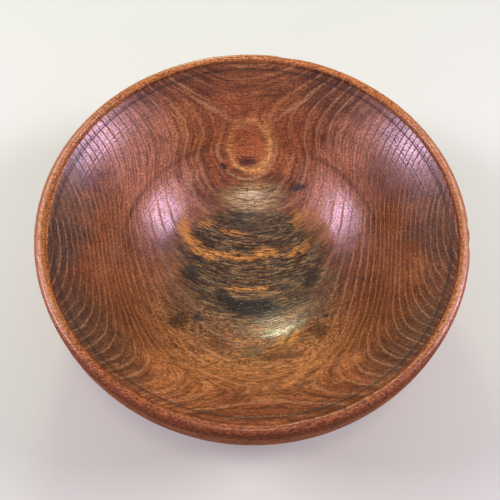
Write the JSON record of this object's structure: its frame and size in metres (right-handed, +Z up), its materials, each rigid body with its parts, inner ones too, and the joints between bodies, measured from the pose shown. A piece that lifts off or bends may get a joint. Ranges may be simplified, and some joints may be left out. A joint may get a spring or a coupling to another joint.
{
  "type": "turned wooden bowl",
  "caption": "Deep round bowl turned from one piece of wood, with a rounded lip, a fine turned line inside the rim, a turned ring in the wall, a dished floor and a low foot.",
  "frame": {"origin": "middle of the foot's flat resting face", "axes": "+Z up along the axis on which the bowl was turned; the wood's fibres run along X"},
  "size_m": [0.254, 0.254, 0.088],
  "materials": {
    "turned_wood": "worn oil and wax polish, satin to glossy, with open pores along the growth lines and a dark stained floor"
  },
  "bodies": {
    "root": {"bowl": "turned_wood"}
  },
  "joints": []
}
